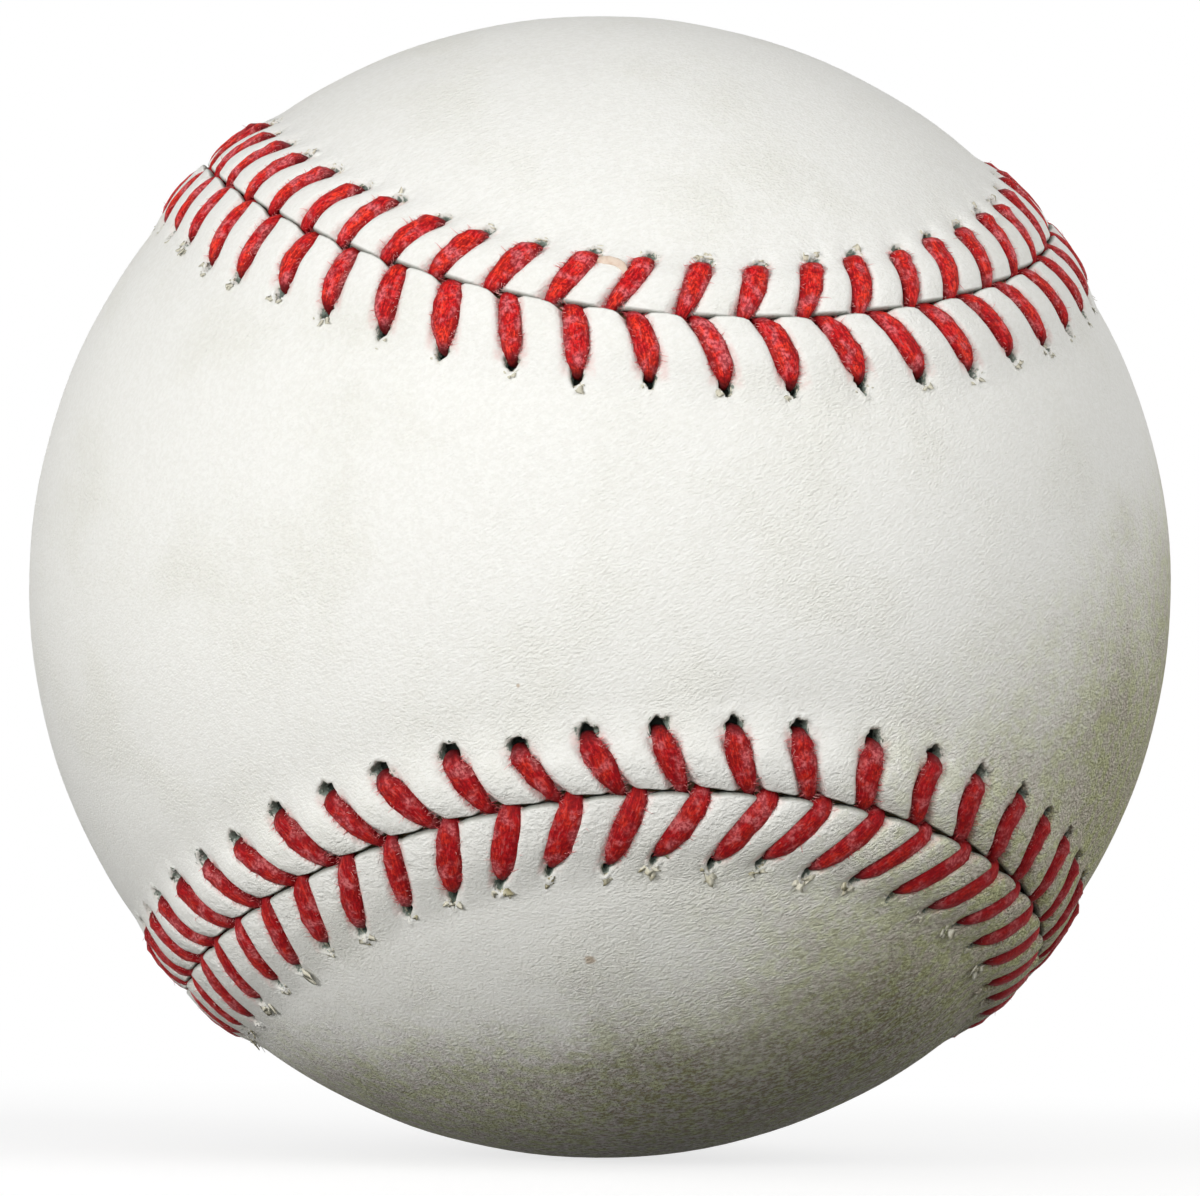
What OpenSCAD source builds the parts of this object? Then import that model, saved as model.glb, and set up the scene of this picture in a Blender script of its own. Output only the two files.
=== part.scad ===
// A regulation hardball: a rubber-covered cork centre, four windings of yarn, a coat of cement,
// two figure-eight leather panels and the two threads of one closed seam.
// The seam's own axis is Y: the front panel is narrow along Z, the back panel along X.

/* [Ball] */
// Diameter over the leather, away from the seam
ball_diameter = 73.8; // [70:0.1:78]
// Thickness of the leather
leather_thickness = 1.1; // [0.9:0.05:1.4]
// Thickness of the cement coat under the leather
cement_thickness = 0.1; // [0.05:0.01:0.2]
// Clearance between one layer and the next
layer_clearance = 0.05; // [0.02:0.01:0.1]

/* [Cushioned cork centre] */
// Diameter of the cork composition ball
cork_diameter = 20.6; // [18:0.1:24]
// Thickness of the two black rubber half shells
black_rubber_thickness = 4; // [3:0.1:5]
// Thickness of the red rubber gasket between the half shells
gasket_thickness = 0.8; // [0.4:0.1:1.6]
// Thickness of the red rubber layer
red_rubber_thickness = 2.4; // [1.5:0.1:3.5]

/* [Windings] */
// Thickness of the white second winding
second_winding_thickness = 1.75; // [1:0.05:3]
// Thickness of the grey third winding
third_winding_thickness = 2.25; // [1:0.05:3]
// Thickness of the white finishing winding
finishing_winding_thickness = 0.5; // [0.3:0.05:1]

/* [Seam] */
// Width of a panel across its waist, measured along the leather
panel_waist = 28.5; // [24:0.5:34]
// How far the seam swings out round the lobes
seam_swing_share = 0.495; // [0.44:0.005:0.54]
// Gap between the edges of the two panels
seam_gap = 0.2; // [0.1:0.05:0.4]
// Number of needle holes in each panel
stitch_count = 108; // [100:2:112]
// Place of the first hole along the seam, in stitches from the front waist
first_stitch_share = 0.1; // [0:0.05:1]
// Distance of the needle holes from the seam
hole_distance = 4.6; // [4:0.1:5.2]
// Height of the leather that the threads lift between two stitches
puff_height = 0.8; // [0.5:0.05:1]
// Height of the leather under a stitch
valley_height = 0.1; // [0.05:0.05:0.2]
// Distance from the seam at which the lifted leather starts to fall
puff_reach = 1.3; // [1:0.1:2]

/* [Thread] */
// Width of the thread on top of the leather
thread_width = 1.4; // [1.1:0.05:1.5]
// Thickness of the thread on top of the leather
thread_thickness = 0.84; // [0.7:0.02:0.9]
// Width of the thread where it passes through the leather
thread_neck_width = 0.84; // [0.7:0.02:0.88]
// Thickness of the thread where it passes through the leather
thread_neck_thickness = 0.7; // [0.5:0.02:0.76]
// Distance between the two threads where they cross in the seam
thread_spacing = 1.04; // [0.98:0.02:1.2]
// Clearance between the thread and the leather
thread_clearance = 0.08; // [0.04:0.01:0.1]

/* [Hidden] */

$fn = 96;
bore_sides = 24;

// Radii of the layers, worked out from the outside in and from the cork out
ball_radius = ball_diameter / 2;
leather_inner = ball_radius - leather_thickness;
cement_outer = leather_inner - layer_clearance;
cement_inner = cement_outer - cement_thickness;
finishing_outer = cement_inner - layer_clearance;
finishing_inner = finishing_outer - finishing_winding_thickness;
third_outer = finishing_inner - layer_clearance;
third_inner = third_outer - third_winding_thickness;
second_outer = third_inner - layer_clearance;
second_inner = second_outer - second_winding_thickness;
first_outer = second_inner - layer_clearance;
cork_radius = cork_diameter / 2;
black_inner = cork_radius + layer_clearance;
black_outer = black_inner + black_rubber_thickness;
red_inner = black_outer + layer_clearance;
red_outer = red_inner + red_rubber_thickness;
first_inner = red_outer + layer_clearance;

// The seam is a closed curve on the ball that swings four times from lobe to lobe
function unit(v) = v / norm(v);
function degrees_of(length_along) = length_along / ball_radius * 180 / PI;
seam_depth = (1 - seam_swing_share) / tan(degrees_of(panel_waist / 2));
function seam_curve(turn) = [
    -sin(turn) - seam_swing_share * sin(3 * turn),
    -seam_depth * cos(2 * turn),
    cos(turn) - seam_swing_share * cos(3 * turn)];
function seam_slope(turn) = [
    -cos(turn) - 3 * seam_swing_share * cos(3 * turn),
    2 * seam_depth * sin(2 * turn),
    -sin(turn) + 3 * seam_swing_share * sin(3 * turn)];

// Travel along the seam against the turn, so that the stitches can be spaced evenly
travel_steps = 720;
travel_points = [for (i = [0:travel_steps + 1]) unit(seam_curve(i * 360 / travel_steps))];
travel_table = [
    for (i = 0, travel = 0; i <= travel_steps;
        travel = travel + norm(travel_points[i + 1] - travel_points[i]), i = i + 1)
    [travel, i * 360 / travel_steps]];
whole_travel = travel_table[travel_steps][0];
function seam_turn(stitch) = lookup(
    (stitch / stitch_count - floor(stitch / stitch_count)) * whole_travel, travel_table);

// A point at a stitch along the seam, a distance aside towards the front panel, and a radius
function seam_out(stitch) = unit(seam_curve(seam_turn(stitch)));
function seam_along(stitch) =
    let (out = seam_out(stitch), slope = seam_slope(seam_turn(stitch)))
    unit(slope - (slope * out) * out);
function seam_point(stitch, aside, radius) =
    let (out = seam_out(stitch), across = cross(out, seam_along(stitch)), lean = degrees_of(aside))
    radius * (out * cos(lean) + across * sin(lean));

// The stitches: a leg lies on the leather from its hole to the seam, half a stitch further on,
// and the thread then goes under the other panel to that panel's next hole
stitch_pitch = whole_travel * ball_radius / stitch_count;
leg_lead_share = 0.5;
crossing_lead = thread_spacing / 2 / stitch_pitch;
hole_radius = thread_neck_width / 2 + thread_clearance;
notch_radius = thread_spacing / 2 + thread_neck_width / 2 + thread_clearance;
neck_depth = thread_neck_thickness / 2;
over_radius = ball_radius + valley_height + thread_thickness / 2 + thread_clearance;
top_radius = ball_radius + valley_height + neck_depth + thread_clearance;
under_radius = leather_inner + neck_depth;
groove_radius = leather_inner + thread_neck_thickness + thread_clearance;
groove_reach = hole_distance + 2 * hole_radius;
overrun = leather_thickness / 2;

// The edge of a panel, or a line inside it, drawn outside the ball
edge_steps = 108;
lid_rows = 2;
lid_radius_share = 1.35;
lid_radius = lid_radius_share * ball_radius;
function edge_point(step, inset) =
    seam_point(step * stitch_count / edge_steps / 2, inset, lid_radius);

// The lifted leather in one stitch: shares of a stitch from one leg to the next, and whether
// the leather there is lifted
lift_shares = [[0.2, 0], [0.36, 1], [0.64, 1], [0.8, 0]];
lift_foot_radius = ball_radius - leather_thickness / 4;
lift_root_radius = ball_radius - leather_thickness / 2;

// The thread's stations in one stitch: share of the way from the hole to the seam, radius,
// and half the thread's width and thickness
thread_sides = 6;
wide = [thread_width, thread_thickness] / 2;
neck = [thread_neck_width, thread_neck_thickness] / 2;
way_shares = [0, 0, 0.28, 0.77, 1];
station_radii = [under_radius, top_radius, over_radius, over_radius, under_radius];
station_sizes = [neck, neck, wide, wide, neck];
function leg_side_point(leg, slant, aside, radius) =
    seam_point(leg + slant * (1 - aside / hole_distance), aside, radius);
function leg_point(hole, side, way_share, radius) = seam_point(
    hole + way_share * (leg_lead_share - side * crossing_lead), side * (1 - way_share) * hole_distance, radius);

// Faces of a tube of rings, as triangles
function tube_faces(rings, sides) = [
    for (ring = [0:rings - 2], side = [0:sides - 1])
    let (a = ring * sides + side, b = ring * sides + (side + 1) % sides)
    each [[a, b + sides, b], [a, a + sides, b + sides]]];
function end_faces(rings, sides) = [
    for (side = [1:sides - 2])
    let (last = (rings - 1) * sides)
    each [[0, side, side + 1], [last, last + side + 1, last + side]]];

module layer(inner, outer) {
    difference() {
        sphere(r = outer);
        sphere(r = inner);
    }
}

// A hole through the leather, straight in towards the ball's centre
module bore(way, radius) {
    rotate([0, acos(way.z), atan2(way.y, way.x)])
        translate([0, 0, leather_inner - overrun])
            cylinder(r = radius, h = leather_thickness + puff_height + 2 * overrun, $fn = bore_sides);
}

module cork_centre() {
    color("peru")
        sphere(r = cork_radius);
}

module black_shell() {
    color("dimgray")
        intersection() {
            layer(black_inner, black_outer);
            translate([0, 0, gasket_thickness / 2 + layer_clearance])
                cylinder(r = black_outer + overrun, h = black_outer + overrun);
        }
}

module red_gasket() {
    color("firebrick")
        intersection() {
            layer(black_inner, black_outer);
            cylinder(r = black_outer + overrun, h = gasket_thickness, center = true);
        }
}

module red_rubber_layer() {
    color("indianred")
        layer(red_inner, red_outer);
}

module first_winding() {
    color("gray")
        layer(first_inner, first_outer);
}

module second_winding() {
    color("ghostwhite")
        layer(second_inner, second_outer);
}

module third_winding() {
    color("darkgray")
        layer(third_inner, third_outer);
}

module finishing_winding() {
    color("floralwhite")
        layer(finishing_inner, finishing_outer);
}

module cement_coat() {
    color("khaki")
        layer(cement_inner, cement_outer);
}

// A solid that holds everything on the front panel's side of the seam, an inset away from it: a
// cone from the ball's centre, closed outside the ball by columns that run from the panel's upper
// edge to its lower
module front_side(inset) {
    tip = edge_steps / 2;
    columns = [for (step = [1 - tip:tip - 1])
        let (edge = edge_point(step, inset),
            flat = unit([edge.x, edge.y]),
            top = asin(edge.z / lid_radius))
        [for (row = [0:lid_rows])
            let (level = top * (1 - 2 * row / lid_rows))
            lid_radius * [flat.x * cos(level), flat.y * cos(level), sin(level)]]];
    ring = lid_rows + 1;
    last = (len(columns) - 1) * ring;
    right_tip = last + ring;
    left_tip = right_tip + 1;
    centre = left_tip + 1;
    points = concat([for (column = columns) each column],
        [edge_point(-tip, inset), edge_point(tip, inset), [0, 0, 0]]);
    lid = [for (step = [0:len(columns) - 2], row = [0:lid_rows - 1])
        let (a = step * ring + row, b = a + ring)
        each [[a, b + 1, b], [a, a + 1, b + 1]]];
    tips = [for (row = [0:lid_rows - 1])
        each [[right_tip, row + 1, row], [left_tip, last + row, last + row + 1]]];
    edges = [for (step = [0:len(columns) - 2])
        let (a = step * ring, b = a + ring)
        each [[centre, a, b], [centre, b + lid_rows, a + lid_rows]]];
    ends = [[centre, right_tip, 0], [centre, lid_rows, right_tip],
        [centre, last, left_tip], [centre, left_tip, last + lid_rows]];
    polyhedron(points = points, faces = concat(lid, tips, edges, ends));
}

// The leather lifted along the seam, high between two stitches and low under each leg
module lifted_leather(first_hole, slant) {
    rings = [for (stitch = [0:stitch_count - 1], lift = lift_shares)
        let (leg = first_hole + stitch + lift[0],
            height = lift[1] * puff_height + (1 - lift[1]) * valley_height)
        each [
            leg_side_point(leg, slant, -seam_gap, ball_radius + height),
            leg_side_point(leg, slant, puff_reach, ball_radius + height),
            leg_side_point(leg, slant, hole_distance, lift_foot_radius),
            leg_side_point(leg, slant, -seam_gap, lift_root_radius)]];
    sides = 4;
    count = len(rings) / sides;
    polyhedron(points = rings,
        faces = [for (ring = [0:count - 1], side = [0:sides - 1])
            let (a = ring * sides + side, b = ring * sides + (side + 1) % sides,
                c = (a + sides) % len(rings), d = (b + sides) % len(rings))
            each [[a, b, d], [a, d, c]]]);
}

// One panel, drawn as the front one: its first hole's place in stitches, and the side of each
// crossing on which the thread goes under it
module cover_panel(first_hole, under_side) {
    slant = leg_lead_share - under_side * crossing_lead;
    intersection() {
        difference() {
            union() {
                sphere(r = ball_radius);
                lifted_leather(first_hole, slant);
            }
            sphere(r = leather_inner);
            difference() {
                sphere(r = groove_radius);
                front_side(groove_reach);
            }
            for (stitch = [0:stitch_count - 1]) {
                hole = first_hole + stitch;
                bore(seam_point(hole, hole_distance, 1), hole_radius);
                bore(seam_point(hole + leg_lead_share, 0, 1), notch_radius);
            }
        }
        front_side(seam_gap / 2);
    }
}

module front_cover_panel() {
    color("ivory")
        cover_panel(first_stitch_share, 1);
}

module back_cover_panel() {
    color("linen")
        mirror([0, 1, 0])
            rotate([0, 90, 0])
                cover_panel(first_stitch_share - stitch_count / 4, -1);
}

// One thread: it starts under the leather, comes up at a hole, lies over to the seam, goes down
// there and under the other panel, and so on from side to side all round the ball
module needle_thread(first_side) {
    path = [for (stitch = [0:stitch_count - 1])
        let (hole = first_stitch_share + stitch, side = stitch % 2 == 0 ? first_side : -first_side)
        each [for (i = [0:len(way_shares) - 1])
            [leg_point(hole, side, way_shares[i], station_radii[i]),
                station_sizes[i],
                hole + way_shares[i] * leg_lead_share]]];
    last = len(path) - 1;
    rings = [for (i = [0:last])
        let (here = path[i][0],
            arrive = i == 0 ? unit(path[1][0] - here) : unit(here - path[i - 1][0]),
            leave = i == last ? arrive : unit(path[i + 1][0] - here),
            way = unit(arrive + leave),
            along = seam_along(path[i][2]),
            width = unit(along - (along * way) * way),
            depth = cross(way, width) / (way * leave))
        each [for (side = [0:thread_sides - 1])
            let (turn = side * 360 / thread_sides)
            here + width * cos(turn) * path[i][1][0] + depth * sin(turn) * path[i][1][1]]];
    polyhedron(points = rings,
        faces = concat(tube_faces(last + 1, thread_sides), end_faces(last + 1, thread_sides)));
}

module first_needle_thread() {
    color("crimson")
        needle_thread(1);
}

module second_needle_thread() {
    color("darkred")
        needle_thread(-1);
}

cork_centre();
black_shell();  // upper_black_shell
mirror([0, 0, 1]) black_shell();  // lower_black_shell
red_gasket();
red_rubber_layer();
first_winding();
second_winding();
third_winding();
finishing_winding();
cement_coat();
front_cover_panel();
back_cover_panel();
first_needle_thread();
second_needle_thread();
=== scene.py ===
import bmesh
import bpy
import math
import numpy as np
from mathutils import Matrix, Vector, noise


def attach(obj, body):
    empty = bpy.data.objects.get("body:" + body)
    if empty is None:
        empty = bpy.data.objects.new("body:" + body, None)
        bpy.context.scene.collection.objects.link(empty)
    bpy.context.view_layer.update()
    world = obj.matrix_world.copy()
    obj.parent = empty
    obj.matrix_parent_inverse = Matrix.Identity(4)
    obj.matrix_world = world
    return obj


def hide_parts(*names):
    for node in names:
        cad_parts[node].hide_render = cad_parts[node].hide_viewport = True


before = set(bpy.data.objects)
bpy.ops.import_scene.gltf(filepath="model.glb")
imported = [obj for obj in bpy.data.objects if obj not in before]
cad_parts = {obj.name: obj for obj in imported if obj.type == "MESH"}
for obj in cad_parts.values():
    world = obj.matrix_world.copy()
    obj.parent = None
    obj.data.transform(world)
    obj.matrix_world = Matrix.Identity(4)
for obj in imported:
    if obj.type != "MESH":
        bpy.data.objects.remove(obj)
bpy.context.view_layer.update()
mm = 0.001
print("frame loaded,", len(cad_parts), "solids")


# the seam, the same closed curve as in the solids, counted in stitches

seam = {
    "radius": 36.9 * mm,  # of the ball, over the leather
    "waist": 28.5 * mm,  # width of a panel across its waist, along the leather
    "swing": 0.495,  # how far the seam swings out round the lobes
    "stitches": 108,
    "firstHole": 0.09,  # in stitches from the front waist
    "drift": 0.07,  # stitches that the holes run ahead or behind on their way round
    "holeDistance": 4.6 * mm,
    "crossing": 0.52 * mm,  # half the distance between the two threads in the seam
    # how far the legs lean at the holes, as a share of their mean lean, and the power of the rest
    "lean": {1: (0.35, 1.8), -1: (1.25, 2.0)},
    "leanEnd": 0.12,
    "reach": 2.2 * mm,  # how far a misplaced hole pulls the leather with it
    "tuckReach": 1.6 * mm,
    # places where the sewing wandered: panel, stitch, stitches to each side, then in mm how far the holes
    # lie along the seam and away from it, and how far the leg ends lie along it
    "wandered": [
        (-1, 1.5, 6.0, 0.65, -0.75, 0.3),
        (1, 3.0, 6.0, 0.0, -0.35, 0.0),
        (1, 51.0, 6.5, -0.25, -0.85, 0.0),
        (1, 58.2, 2.8, 1.20, 0.0, 0.55),
        (-1, 57.5, 3.5, -0.40, 0.1, 0.45),
        (-1, 102.5, 4.0, 0.95, 0.0, 0.0),
        (1, 7.5, 4.0, 0.0, 0.0, -0.55),
        (-1, 7.5, 4.0, 0.0, 0.0, -0.55)],
    # where the seam itself lies off: stitch, stitches to each side, and how far
    "sag": (3.0, 5.5, 0.40 * mm),
    "steps": 8640,  # in which the seam is measured
    "seed": 11,
}
# how far the hand-sewn stitches differ, as standard deviations where nothing else is said
handSewing = {
    "ahead": 0.16 * mm,  # holes along the seam
    "out": 0.14 * mm,  # holes away from the seam
    "tuck": 0.10 * mm,  # leg ends along the seam
    "puff": 0.08,  # height of the puffed leather, as a share
    "width": 0.09,  # of the legs, as a share
    "widths": (0.82, 1.18),  # of the slimmest and the broadest leg
    "burst": (0.3, 1.3),  # range of how high the leather is torn up beyond the holes
    "burstShare": {1: 0.6, -1: 1.3},  # how much of that each panel has
    "gap": 0.05 * mm,  # between the panels, at the most
}
radius = seam["radius"]
stitches = seam["stitches"]
holeDistance = seam["holeDistance"]
rng = np.random.default_rng(seam["seed"])
seamDepth = (1 - seam["swing"]) / math.tan(seam["waist"] / 2 / radius)


def seamCurve(turn):
    return np.stack([
        -np.sin(turn) - seam["swing"] * np.sin(3 * turn),
        -seamDepth * np.cos(2 * turn),
        np.cos(turn) - seam["swing"] * np.cos(3 * turn)], -1)


def seamSlope(turn):
    return np.stack([
        -np.cos(turn) - 3 * seam["swing"] * np.cos(3 * turn),
        2 * seamDepth * np.sin(2 * turn),
        -np.sin(turn) + 3 * seam["swing"] * np.sin(3 * turn)], -1)


def unit(v):
    return v / np.linalg.norm(v, axis=-1, keepdims=True)


def smooth(x, low, high):
    t = np.clip((x - low) / (high - low), 0, 1)
    return t * t * (3 - 2 * t)


def bell(x, width):
    return np.exp(-(x / width) ** 2)


turns = np.linspace(0, 2 * math.pi, seam["steps"] + 1)
seamSteps = np.diff(unit(seamCurve(turns)), axis=0)
travel = np.concatenate([[0], np.cumsum(np.linalg.norm(seamSteps, axis=1))])
pitch = travel[-1] * radius / stitches
crossLead = seam["crossing"] / pitch


def seamPlace(stitch, aside):  # directions of points beside the seam, and the way along it there
    turn = np.interp(np.mod(stitch / stitches, 1) * travel[-1], travel, turns)
    out = unit(seamCurve(turn))
    slope = seamSlope(turn)
    along = unit(slope - (slope * out).sum(-1, keepdims=True) * out)
    across = np.cross(out, along)
    lean = np.asarray(aside / radius)[..., None]
    return out * np.cos(lean) + across * np.sin(lean), along


def eased(values, at):  # one value for each stitch, smooth from one to the next all round
    low = np.floor(at).astype(int)
    part = at - low
    part = part * part * (3 - 2 * part)
    return values[low % stitches] * (1 - part) + values[(low + 1) % stitches] * part


def wobble(points, size, seed, waves=7):  # smooth unevenness, mostly between -1 and 1
    pick = np.random.default_rng(seed)
    total = 0
    for _ in range(waves):
        way = unit(pick.normal(size=3)) * pick.uniform(0.6, 1.5) * 2 * math.pi / size
        total = total + np.sin(points @ way + pick.uniform(0, 2 * math.pi))
    return total / (0.4 * waves)


# one value for each stitch, for the front (1) and back (-1) panel
hand = {}
for side in (1, -1):
    hand[side] = {
        "ahead": rng.normal(0, handSewing["ahead"], stitches),
        "out": rng.normal(0, handSewing["out"], stitches),
        "tuck": rng.normal(0, handSewing["tuck"], stitches),
        "puff": rng.normal(1, handSewing["puff"], stitches),
        "width": np.clip(rng.normal(1, handSewing["width"], stitches), *handSewing["widths"]),
        "burst": rng.uniform(*handSewing["burst"], stitches) * handSewing["burstShare"][side],
        "gap": rng.uniform(0.0, handSewing["gap"], stitches),
    }


def stitchesFrom(column, middle):  # the shorter way round
    return (column - middle + stitches / 2) % stitches - stitches / 2


for side, middle, spread, ahead, out, tuck in seam["wandered"]:
    near = bell(stitchesFrom(np.arange(stitches), middle), spread)
    hand[side]["ahead"] += ahead * mm * near
    hand[side]["out"] += out * mm * near
    hand[side]["tuck"] += tuck * mm * near


def leaning(side, share):  # from 1 at the seam to 0 at the holes, and a little on
    slope, power = seam["lean"][side]
    inner = np.clip(share, 0, None)
    beyond = seam["leanEnd"] * (np.exp(np.clip(share, None, 0) / seam["leanEnd"]) - 1)
    return slope * (inner + beyond) + (1 - slope) * inner ** power


def sewn(side, column, aside):  # from a panel's columns, whose whole numbers are its legs, to the seam
    lean = (0.5 - side * crossLead) * leaning(side, 1 - aside / holeDistance)
    atHoles = bell(aside - holeDistance, seam["reach"])
    atSeam = bell(np.clip(aside, 0, None), seam["tuckReach"])
    ahead = eased(hand[side]["ahead"], column) * atHoles + eased(hand[side]["tuck"], column) * atSeam
    drift = seam["firstHole"] - seam["drift"] * np.cos(2 * math.pi * column / stitches)
    middle, spread, depth = seam["sag"]
    sag = depth * bell(stitchesFrom(column, middle), spread)
    off = aside + eased(hand[side]["out"], column) * atHoles
    return column + drift + lean + ahead / pitch, side * off + sag


def low(side, column):  # 1 where a leg hangs from the seam as photographed, -1 where it stands on it
    return side * np.cos(2 * math.pi * column / stitches)


print("seam laid out,", round(travel[-1] * radius / mm), "mm round,", round(pitch / mm, 2), "mm a stitch")


# small helpers for materials

def newMaterial(name, base, roughness, specular=0.3):
    mat = bpy.data.materials.new(name)
    mat.use_nodes = True
    mat.diffuse_color = (*base, 1)
    shader = mat.node_tree.nodes["Principled BSDF"]
    shader.inputs["Base Color"].default_value = (*base, 1)
    shader.inputs["Roughness"].default_value = roughness
    shader.inputs["Specular IOR Level"].default_value = specular
    return mat, mat.node_tree, shader, addNode(mat.node_tree, "TexCoord").outputs["Object"]


def feed(tree, socket, value):  # a link or a plain value
    if hasattr(value, "is_output"):
        tree.links.new(value, socket)
    elif isinstance(value, tuple) and socket.type == "RGBA":
        socket.default_value = (*value, 1)
    else:
        socket.default_value = value


def addNode(tree, kind, settings=None, **inputs):
    n = tree.nodes.new("ShaderNode" + kind)
    for key, value in (settings or {}).items():
        setattr(n, key, value)
    for key, value in inputs.items():
        feed(tree, n.inputs[key], value)
    return n


def sums(tree, operation, a, b=0.0):
    n = addNode(tree, "Math", {"operation": operation})
    feed(tree, n.inputs[0], a)
    feed(tree, n.inputs[1], b)
    return n.outputs[0]


def times(tree, a, b):
    return sums(tree, "MULTIPLY", a, b)


def plus(tree, a, b):
    return sums(tree, "ADD", a, b)


def ramp(tree, value, low, high, toLow=0.0, toHigh=1.0):
    n = addNode(tree, "MapRange", {"interpolation_type": "SMOOTHSTEP"}, Value=value)
    n.inputs["From Min"].default_value = low
    n.inputs["From Max"].default_value = high
    n.inputs["To Min"].default_value = toLow
    n.inputs["To Max"].default_value = toHigh
    return n.outputs["Result"]


def blend(tree, share, a, b, kind="MIX"):
    n = addNode(tree, "Mix", {"data_type": "RGBA", "blend_type": kind})
    feed(tree, n.inputs[0], share)
    feed(tree, n.inputs[6], a)
    feed(tree, n.inputs[7], b)
    return n.outputs[2]


def noiseOf(tree, vector, scale, detail=2.0, roughness=0.5):
    n = addNode(tree, "TexNoise", Vector=vector, Scale=scale, Detail=detail, Roughness=roughness)
    return n.outputs["Fac"]


def attribute(tree, name):
    return addNode(tree, "Attribute", {"attribute_name": name})


def vectors(tree, operation, a, b=(0, 0, 0)):
    n = addNode(tree, "VectorMath", {"operation": operation})
    feed(tree, n.inputs[0], a)
    feed(tree, n.inputs[1], b)
    return n.outputs


def parts(tree, vector):
    return addNode(tree, "SeparateXYZ", Vector=vector).outputs


def bump(tree, shader, height, strength, distance):
    made = addNode(tree, "Bump", Height=height, Strength=strength, Distance=distance)
    tree.links.new(made.outputs["Normal"], shader.inputs["Normal"])


def newGroup(name, inputs, outputs):
    group = bpy.data.node_groups.new(name, "ShaderNodeTree")
    for socket, (kind, value) in inputs.items():
        made = group.interface.new_socket(name=socket, in_out="INPUT", socket_type="NodeSocket" + kind)
        if value is not None:
            made.default_value = value
    for socket in outputs:
        group.interface.new_socket(name=socket, in_out="OUTPUT", socket_type="NodeSocketFloat")
    return group, group.nodes.new("NodeGroupInput").outputs, group.nodes.new("NodeGroupOutput").inputs


def useGroup(tree, group, **inputs):
    return addNode(tree, "Group", {"node_tree": group}, **inputs).outputs


# effects that several materials share

hide = {
    "turn": (0.0, 1.1, 0.0),  # which way the grain is drawn out, and how far
    "draw": (1.0, 1.0, 1.7),
    "bendScale": 1400.0,
    "bend": 0.2 * mm,
    "creaseScale": 1500.0,
    "fineScale": 8200.0,
    "softScale": 3600.0,
    "soft": 0.45,  # shares of the height and of the mottling
    "dome": 0.5,
    "fineMottle": 0.6,
}


def makeHideGrain():  # pebbles and fine creases of tanned hide
    group, given, result = newGroup("hideGrain",
        {"Vector": ("Vector", None), "Pebbles": ("Float", 6000.0), "Crease Depth": ("Float", 0.05)},
        ["Height", "Mottle"])
    drawn = addNode(group, "Mapping", {"vector_type": "TEXTURE"}, Vector=given["Vector"],
        Rotation=hide["turn"], Scale=hide["draw"]).outputs[0]
    bent = addNode(group, "TexNoise", Vector=drawn, Scale=hide["bendScale"], Detail=2.0)
    shift = addNode(group, "VectorMath", {"operation": "SCALE"}, Scale=hide["bend"])
    feed(group, shift.inputs[0], bent.outputs["Color"])
    place = vectors(group, "ADD", drawn, shift.outputs[0])["Vector"]
    cells = addNode(group, "TexVoronoi", Vector=place, Scale=given["Pebbles"])
    edges = addNode(group, "TexVoronoi", {"feature": "DISTANCE_TO_EDGE"}, Vector=place,
        Scale=hide["creaseScale"])
    crease = times(group, ramp(group, edges.outputs["Distance"], 0.0, 0.2), given["Crease Depth"])
    fine = noiseOf(group, drawn, hide["fineScale"], 2.0, 0.6)
    soft = noiseOf(group, drawn, hide["softScale"], 2.0, 0.6)
    dome = sums(group, "SUBTRACT", 1.0, cells.outputs["Distance"])
    height = plus(group, crease, times(group, dome, hide["dome"]))
    height = plus(group, height, times(group, soft, hide["soft"]))
    feed(group, result["Height"], plus(group, height, fine))
    patchy = plus(group, soft, times(group, fine, hide["fineMottle"]))
    feed(group, result["Mottle"], ramp(group, patchy, 0.96, 0.64))
    return group


shadeSides = {
    "unevenness": 9 * mm,  # of the edges of the painted shade
    # painted shade on the lower right side and on the underside: which way, and where they start and are
    # full, in radii
    "sides": {"Shaded Side": ((0.70, -0.06, -0.71), 0.39, 0.94), "Shaded Underside": ((0.10, 0.0, -0.995), 0.645, 0.93)},
}


def makeSoilAndShade():  # soiled patches from play and hands, and painted shade on the lower right side and the underside
    group, given, result = newGroup("soilAndShade",
        {"Vector": ("Vector", None), "Patch Size": ("Float", 110.0)}, ["Patches", "Shaded Side", "Shaded Underside"])
    patch = noiseOf(group, given["Vector"], given["Patch Size"], 4.0, 0.55)
    feed(group, result["Patches"], ramp(group, patch, 0.45, 0.72))
    uneven = times(group, sums(group, "SUBTRACT", patch, 0.5), shadeSides["unevenness"])
    for name, (way, start, full) in shadeSides["sides"].items():
        far = plus(group, vectors(group, "DOT_PRODUCT", given["Vector"], way)["Value"], uneven)
        feed(group, result[name], ramp(group, far, radius * start, radius * full))
    return group


def makeFibres():  # fine strands that run along a thread or yarn
    group, given, result = newGroup("fibres",
        {"Strand": ("Vector", None), "Fineness": ("Float", 8.0), "Length Share": ("Float", 0.3)},
        ["Height", "Worn"])
    scale = addNode(group, "CombineXYZ", X=1.0, Y=1.0, Z=given["Length Share"])
    stretched = vectors(group, "MULTIPLY", given["Strand"], scale.outputs[0])["Vector"]
    strand = noiseOf(group, stretched, given["Fineness"], 4.0, 0.65)
    clump = noiseOf(group, stretched, times(group, given["Fineness"], 0.35), 3.0, 0.6)
    feed(group, result["Height"], plus(group, strand, times(group, clump, 0.7)))
    raised = plus(group, strand, times(group, clump, 0.5))
    feed(group, result["Worn"], ramp(group, raised, 0.78, 1.0))
    return group


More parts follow.
